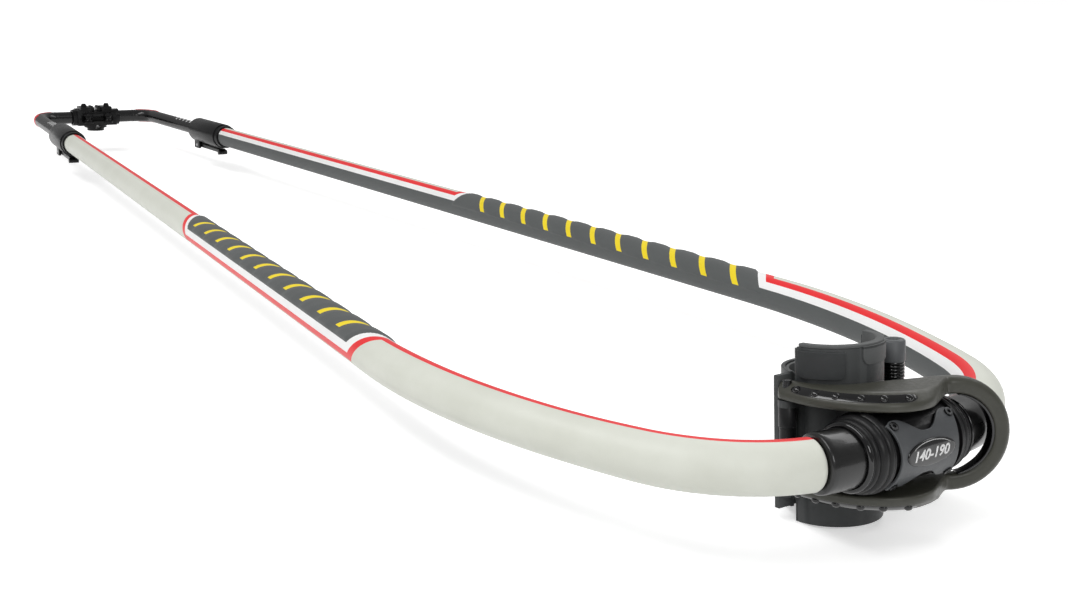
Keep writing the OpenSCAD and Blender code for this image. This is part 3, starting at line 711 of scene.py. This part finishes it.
def shell_patch(name, radius, thick, rows, cols, at):
    """Closed shell on a cylinder about the front tube; at(u, v) gives (across in mm, angle in degrees)."""
    place = head_place(TUBE_OFFSET)
    verts, faces = [], []
    for r in (radius, radius - thick):
        for i in range(rows + 1):
            for j in range(cols + 1):
                y, angle = at(2 * i / rows - 1, 2 * j / cols - 1)
                a = math.radians(angle)
                verts.append(place @ (Vector((r * math.cos(a), y, r * math.sin(a))) * MM))
    w = cols + 1
    layer = (rows + 1) * w
    for i in range(rows):
        for j in range(cols):
            quad = (i * w + j, i * w + j + 1, (i + 1) * w + j + 1, (i + 1) * w + j)
            faces += [quad, tuple(k + layer for k in reversed(quad))]
    border = [j for j in range(w)] + [i * w + cols for i in range(1, rows + 1)]
    border += [rows * w + j for j in range(cols - 1, -1, -1)] + [i * w for i in range(rows - 1, 0, -1)]
    for k, n in zip(border, border[1:] + border[:1]):
        faces.append((k, n, n + layer, k + layer))
    obj = new_object(name, verts, faces)
    ease = obj.modifiers.new("eased_edges", "BEVEL")
    ease.width, ease.segments, ease.limit_method, ease.angle_limit = 0.45 * MM, 4, "ANGLE", math.radians(50)
    return obj


def bow_tie(u, v):
    """Cover outline: four ears, with hollow sides between them."""
    y = 27 * u * (1 - 0.14 * (1 - v * v))
    return y, v * (31 + 24 * smooth(2, 19, abs(y)) - 5 * smooth(0.8, 1, abs(u)) * smooth(0.7, 1, abs(v)))


def build_cover():
    finish(shell_patch("front_cover_shell", 23.0, 1.6, 60, 48, bow_tie), M["slate"], "head", "slate_moulding", "front_cover")


def build_badge():
    """Oval domed badge with a rim and a printed arc line; the length range is laid on it by build_badge_number."""
    place = head_place(TUBE_OFFSET)

    def at(rho, theta, r, w=19.5, h=7.4):
        a = h * rho * math.sin(theta) / 23.5
        return place @ (Vector((r * math.cos(a), w * rho * math.cos(theta), r * math.sin(a))) * MM)

    profile = [(1.0, 22.2), (1.0, 23.35), (0.985, 23.6), (0.95, 23.72), (0.9, 23.74), (0.7, 23.75), (0.4, 23.75), (0.01, 23.75)]
    rings = [[at(rho, 2 * math.pi * j / 96, r) for j in range(96)] for rho, r in profile]
    finish(loft("oval_badge", rings), M["gloss"], "head", "gloss_black", "badge")
    count = 40
    strip = []
    for i in range(count + 1):
        theta = math.radians(28 + 122 * i / count)
        thin = 0.010 + 0.02 * math.sin(math.pi * i / count)
        strip.append([at(0.86 - thin, theta, 23.8), at(0.86 + thin, theta, 23.8),
                      at(0.86 + thin, theta, 23.7), at(0.86 - thin, theta, 23.7)])
    finish(loft("badge_arc_line", strip), M["line"], "head", "bush_nylon")


def build_collar(side_name):
    """Stepped collar beside the cover: a thin bright ring, a rounded flange and a ridge."""
    sign = SIDES[side_name]
    turn = Matrix.Rotation(math.radians(-90 * sign), 4, "X")
    place = head_place(TUBE_OFFSET) @ turn
    steps = [(16.7, 28.05), (22.2, 28.05), (22.3, 29.0), (22.0, 30.4), (21.2, 31.0), (21.5, 31.9), (21.6, 33.2),
             (21.1, 34.6), (20.2, 35.5), (19.4, 35.9), (19.7, 36.7), (19.8, 37.7), (19.3, 38.6), (18.6, 39.0),
             (18.7, 39.6), (18.4, 40.2), (17.8, 40.55), (16.7, 40.55)]
    profile = [(r * MM, z * MM) for r, z in steps]
    obj = lathe(side_name + "_ridged_collar", profile, place)
    sharp_edges(obj, 50)
    finish(obj, M["black"], "head", "black_moulding", side_name + "_collar")
    lip = [(16.6, 40.6), (18.6, 40.6), (19.1, 41.0), (19.1, 41.7), (18.5, 42.4), (17.6, 42.9), (16.6, 43.0)]
    obj = lathe(side_name + "_gloss_lip", [(r * MM, z * MM) for r, z in lip], place)
    finish(obj, M["gloss"], "head", "seal_rubber", side_name + "_seal_ring")


def build_adjuster():
    """Knurled-foot adjuster: a slate cap with a round socket above a black ringed foot."""
    low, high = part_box("adjuster")
    inverse = head_place().inverted()
    axis = inverse @ Vector(joints["adjuster_turn"]["pos_m"])
    top = 0.0472
    place = head_place() @ Matrix.Translation((axis.x, axis.y, 0))
    r = 7.3 * MM
    cap = [(3.6 * MM, top - 13 * MM), (r, top - 13 * MM), (r, top - 1.2 * MM), (r - 0.9 * MM, top - 0.2 * MM),
           (r - 1.6 * MM, top), (4.4 * MM, top), (3.7 * MM, top - 0.8 * MM)]
    obj = lathe("adjuster_cap", cap, place)
    sharp_edges(obj, 50)
    finish(obj, M["slate"], "adjuster_screw", "slate_moulding", "adjuster")
    foot = [(0.02 * MM, top - 9 * MM), (3.6 * MM, top - 9 * MM), (3.6 * MM, top - 13.1 * MM)]
    z = top - 13.1 * MM
    while z > top - 21.4 * MM:
        foot += [(6.7 * MM, z), (6.9 * MM, z - 0.4 * MM), (6.9 * MM, z - 1.4 * MM), (6.4 * MM, z - 1.7 * MM)]
        z -= 2.0 * MM
    foot.append((0.02 * MM, z))
    obj = lathe("adjuster_foot", foot, place)
    sharp_edges(obj, 50)
    finish(obj, M["gloss"], "adjuster_screw", "gloss_black")


def cup_patch(name, angles, heights, radius, thick, material, slot, tip=0.0):
    """Closed piece of wall round the mast; its lower corners are rounded by tip millimetres."""
    place = head_place()
    rows, cols = 40, 24
    verts, faces = [], []
    for r in (radius, radius - thick):
        for i in range(rows + 1):
            u = i / rows
            a = math.radians(angles[0] + (angles[1] - angles[0]) * u)
            edge = min(u, 1 - u) * math.radians(abs(angles[1] - angles[0])) * radius
            lift = tip - math.sqrt(max(tip * tip - (tip - min(edge, tip)) ** 2, 0)) if tip else 0
            for j in range(cols + 1):
                z = heights[1] - (heights[1] - heights[0] - lift) * j / cols
                verts.append(place @ (Vector((r * math.cos(a), r * math.sin(a), z)) * MM))
    w = cols + 1
    layer = (rows + 1) * w
    for i in range(rows):
        for j in range(cols):
            quad = (i * w + j, i * w + j + 1, (i + 1) * w + j + 1, (i + 1) * w + j)
            faces += [quad, tuple(k + layer for k in reversed(quad))]
    border = list(range(w)) + [i * w + cols for i in range(1, rows + 1)]
    border += [rows * w + j for j in range(cols - 1, -1, -1)] + [i * w for i in range(rows - 1, 0, -1)]
    for k, n in zip(border, border[1:] + border[:1]):
        faces.append((k, n, n + layer, k + layer))
    obj = new_object(name, verts, faces)
    ease = obj.modifiers.new("eased_edges", "BEVEL")
    ease.width, ease.segments, ease.limit_method, ease.angle_limit = 0.4 * MM, 3, "ANGLE", math.radians(50)
    return finish(obj, material, "head", slot)


def build_cup_trim():
    """Rubber tongue hooked over the cup's front edge, and the web that stiffens its near side."""
    cup_patch("liner_tongue", (-14, 34), (41.5, 51.6), 29.5, 1.3, M["liner"], "liner_rubber", 4.5)
    cup_patch("liner_tongue_top", (-14, 34), (50.4, 51.8), 29.5, 5.0, M["liner"], "liner_rubber")
    cup_patch("cup_near_web", (-88, -34), (34, 49.4), 29.7, 1.6, M["cup"], "black_moulding", 3.5)


def build_pin_post():
    """Black post round the lever pin, between the arms."""
    place = head_place(0, -36.3 * MM)
    profile = [(2.6, -20.5), (4.6, -20.5), (5.0, -20.0), (5.0, -7.2), (4.6, -6.8), (4.6, 6.8), (5.0, 7.2), (5.0, 20.0),
               (4.6, 20.5), (2.6, 20.5)]
    obj = lathe("lever_pin_post", [(r * MM, z * MM) for r, z in profile], place, steps=48)
    sharp_edges(obj, 40)
    finish(obj, M["black"], "head", "black_moulding")


build_cup_trim()
build_pin_post()
build_cover()
build_badge()
for side_name in SIDES:
    build_collar(side_name)
build_adjuster()

# ---------------------------------------------------------------- tail

CORNER_R = 30 * MM
LEG_DIRECTION = {side_name: Vector((ALONG.x, sign * ALONG.y, 0)) for side_name, sign in SIDES.items()}


def corner_frame(sign, t):
    """Centre and outward direction on a tail corner's arc; t runs from the crossbar (0) to the leg (1)."""
    leg = Vector((-ALONG.x, -sign * ALONG.y, 0))
    turn = math.radians(90 - ARM_LEAN)
    tangent_length = CORNER_R * math.tan(turn / 2)
    meet = TAIL + Vector((0, 0, 0))
    p, _ = arm_plan(0.5)
    run = (TAIL.x - TUBE.x - p.x) / ALONG.x
    meet.y = sign * (p.y + run * ALONG.y)
    start = meet + Vector((0, -sign, 0)) * tangent_length
    centre = start + Vector((CORNER_R, 0, 0))
    angle = turn * t
    outward = Vector((-math.cos(angle), sign * math.sin(angle), 0))
    return centre + outward * CORNER_R, outward


def build_bumper(side_name):
    """Red guard wrapped round the outside of a tail corner."""
    sign = SIDES[side_name]
    rings = []
    rows, half = 28, 84
    for i in range(rows + 1):
        t = 0.10 + 0.98 * i / rows
        centre, outward = corner_frame(sign, t)
        end = min(i, rows - i)
        r = TAIL_R + (0.95 if end > 1 else 0.35 + 0.3 * end) * MM
        reach = math.radians(half * (0.80 + 0.20 * smooth(0, 6, end)))
        arc = [reach * (2 * k / 24 - 1) for k in range(25)]
        ring = [centre + r * (math.cos(a) * outward + math.sin(a) * Vector((0, 0, 1))) for a in arc]
        inner = [centre + (TAIL_R - 0.3 * MM) * (math.cos(a) * outward + math.sin(a) * Vector((0, 0, 1))) for a in reversed(arc)]
        rings.append(ring + inner)
    obj = loft(side_name + "_corner_guard", rings)
    sharp_edges(obj, 50)
    finish(obj, M["red"], side_name + "_leg", "red_bumper", side_name + "_tail_bumper")


def build_ticks(side_name):
    """Slanted white length marks on top of a leg, beside its clamp."""
    sign = SIDES[side_name]
    verts, faces = [], []
    for k in range(6):
        for j in range(9):
            a = math.radians(-34 + 68 * j / 8)
            s = S2 + CLAMP_END + (11 + 13 * k) * MM + sign * 0 + (j - 4) * 0.9 * MM
            for ds, r in ((-1.6, 0.16), (1.6, 0.16), (1.6, -0.1), (-1.6, -0.1)):
                centre, outward, _ = arm_frame(s + ds * MM, sign)
                verts.append(centre + (TAIL_R + r * MM) * (math.sin(a) * outward + math.cos(a) * Vector((0, 0, 1))))
        base = k * 36
        faces += [tuple(base + n for n in (j * 4 + q, j * 4 + (q + 1) % 4, j * 4 + 4 + (q + 1) % 4, j * 4 + 4 + q))
                  for j in range(8) for q in range(4)]
        faces += [(base, base + 1, base + 2, base + 3), (base + 35, base + 34, base + 33, base + 32)]
    finish(new_object(side_name + "_length_ticks", verts, faces), M["white"], side_name + "_leg", "bush_nylon")


for side_name in SIDES:
    build_bumper(side_name)
    build_ticks(side_name)

# ---------------------------------------------------------------- badge number

def build_badge_number():
    """The length range, laid on the badge."""
    curve = bpy.data.curves.new("badge_number_text", "FONT")
    curve.body = "140-190"
    curve.size = 9.6 * MM
    curve.shear = 0.28
    curve.align_x = "CENTER"
    curve.align_y = "CENTER"
    curve.offset = 0.00024
    text = bpy.data.objects.new("badge_number_text", curve)
    bpy.context.scene.collection.objects.link(text)
    bpy.context.view_layer.update()
    mesh = bpy.data.meshes.new_from_object(text.evaluated_get(bpy.context.evaluated_depsgraph_get()))
    bpy.data.objects.remove(text)
    bm = bmesh.new()
    bm.from_mesh(mesh)
    for k in range(-5, 6):
        bmesh.ops.bisect_plane(bm, geom=bm.verts[:] + bm.edges[:] + bm.faces[:], plane_co=(0, k * MM, 0), plane_no=(0, 1, 0))
    radius = 23.8 * MM
    place = head_place(TUBE_OFFSET)
    xs, ys = [v.co.x for v in bm.verts], [v.co.y for v in bm.verts]
    for v in bm.verts:
        x = ((v.co.x - min(xs)) / (max(xs) - min(xs)) - 0.5) * 28.5 * MM
        y = ((v.co.y - min(ys)) / (max(ys) - min(ys)) - 0.56) * 5.9 * MM
        a = y / radius
        v.co = place @ Vector((radius * math.cos(a), x, radius * math.sin(a)))
    bm.to_mesh(mesh)
    bm.free()
    obj = bpy.data.objects.new("badge_number", mesh)
    bpy.context.scene.collection.objects.link(obj)
    thick = obj.modifiers.new("thickness", "SOLIDIFY")
    thick.thickness = 0.12 * MM
    thick.offset = 0
    finish(obj, M["white"], "head", "bush_nylon")


build_badge_number()

# ---------------------------------------------------------------- CAD nodes that show as they are

CAD_LOOKS = {
    "carbon": ["port_arm_tube", "starboard_arm_tube", "port_tail_tube", "starboard_tail_tube"],
    "clamp": ["port_clamp", "starboard_clamp", "port_clamp_lever", "starboard_clamp_lever",
              "fitting_top", "fitting_bottom", "rope_cleats", "port_roller", "starboard_roller"],
    "nylon": ["port_end_bush", "starboard_end_bush", "port_leg_plug", "starboard_leg_plug"],
    "steel": ["port_clamp_pin", "starboard_clamp_pin", "hinge_pin", "fitting_screws", "roller_pins"],
    "black": ["head_rear_shell", "head_front_shell", "hinge_bush"],
    "screw": ["cover_screws", "lever_pin"],
    "cup": ["mast_cup", "rear_jaw"],
    "liner": ["cup_liner", "jaw_liner"],
}


def dress(node_name, material, bevel=0.5):
    """Finish on a CAD node: its material, welded normals and eased edges."""
    obj = nodes[node_name]
    obj.data.materials.clear()
    obj.data.materials.append(material)
    weld = obj.modifiers.new("weld", "WELD")
    weld.merge_threshold = 0.000002
    ease = obj.modifiers.new("eased_edges", "BEVEL")
    ease.width = bevel * MM
    ease.segments = 3
    ease.limit_method = "ANGLE"
    ease.angle_limit = math.radians(38)
    ease.use_clamp_overlap = True
    ease.harden_normals = False
    for polygon in obj.data.polygons:
        polygon.use_smooth = True


SMALL = {"cover_screws", "roller_pins", "port_clamp_pin", "starboard_clamp_pin"}
for look, names in CAD_LOOKS.items():
    for node_name in names:
        dress(node_name, M[look], 0.15 if node_name in SMALL else 0.5)

# ---------------------------------------------------------------- stage, light and camera

def build_stage():
    low, high = (Vector(c) for c in cad_box)
    middle = (low + high) / 2
    size = 40
    floor = new_object("floor", [(-size, -size, low.z), (size, -size, low.z), (size, size, low.z), (-size, size, low.z)],
                       [(0, 1, 2, 3)])
    g = Graph("pale_floor")
    path = g.node("ShaderNodeLightPath")
    away = g.node("ShaderNodeVectorMath", operation="DISTANCE")
    g.link(away.inputs[0], g.place())
    away.inputs[1].default_value = (middle.x, middle.y, low.z)
    g.set(Base_Color=(0.93, 0.93, 0.93, 1.0), Roughness=1.0)
    g.shader.inputs["Specular IOR Level"].default_value = 0.0
    g.shader.inputs["Emission Color"].default_value = (1, 1, 1, 1)
    seen = g.math("MAXIMUM", path.outputs["Is Camera Ray"], path.outputs["Is Glossy Ray"])
    g.link(g.shader.inputs["Emission Strength"], g.math("MULTIPLY", seen, g.ramp(away.outputs["Value"], 0.7, 2.4, 0.42, 1.0)))
    floor.data.materials.append(g.material)

    world = bpy.data.worlds.new("studio")
    bpy.context.scene.world = world
    world.use_nodes = True
    tree = world.node_tree
    path = tree.nodes.new("ShaderNodeLightPath")
    strength = tree.nodes.new("ShaderNodeMapRange")
    strength.inputs["To Min"].default_value = 0.42
    strength.inputs["To Max"].default_value = 1.0
    tree.links.new(path.outputs["Is Camera Ray"], strength.inputs["Value"])
    tree.nodes["Background"].inputs["Color"].default_value = (1, 1, 1, 1)
    tree.links.new(strength.outputs[0], tree.nodes["Background"].inputs["Strength"])


def area_light(name, location, target, size, power):
    light = bpy.data.lights.new(name, "AREA")
    light.shape = "RECTANGLE"
    light.size, light.size_y = size
    light.energy = power
    obj = bpy.data.objects.new(name, light)
    obj.location = location
    obj.rotation_euler = (Vector(target) - Vector(location)).to_track_quat("-Z", "Y").to_euler()
    bpy.context.scene.collection.objects.link(obj)


def build_lights():
    area_light("key", (-0.5, -1.2, 1.9), (-0.5, 0, 0), (2.2, 0.7), 30)
    area_light("front", (1.3, -0.5, 0.9), (0, 0, 0), (0.5, 0.5), 6)
    area_light("back", (-0.6, 1.5, 1.4), (-0.6, 0, 0), (2.2, 0.5), 12)


def build_camera():
    """The photograph's view: a 1068 x 600 frame, seen from ahead and to starboard."""
    azimuth, elevation, roll = (math.radians(a) for a in (145.04, 15.16, 1.89))
    forward = Vector((math.cos(elevation) * math.cos(azimuth), math.cos(elevation) * math.sin(azimuth), -math.sin(elevation)))
    right = forward.cross(Vector((0, 0, 1))).normalized()
    up = right.cross(forward)
    x = right * math.cos(roll) + up * math.sin(roll)
    y = -right * math.sin(roll) + up * math.cos(roll)
    data = bpy.data.cameras.new("camera")
    data.sensor_width = 36
    data.lens = 39.77
    data.clip_start = 0.01
    data.clip_end = 100
    camera = bpy.data.objects.new("camera", data)
    place = Matrix((x, y, -forward)).transposed().to_4x4()
    place.translation = TUBE + Vector((0.3772, -0.5065, 0.2359))
    camera.matrix_world = place
    bpy.context.scene.collection.objects.link(camera)
    bpy.context.scene.camera = camera


build_stage()
build_lights()
build_camera()
bpy.context.scene.view_settings.view_transform = "Standard"
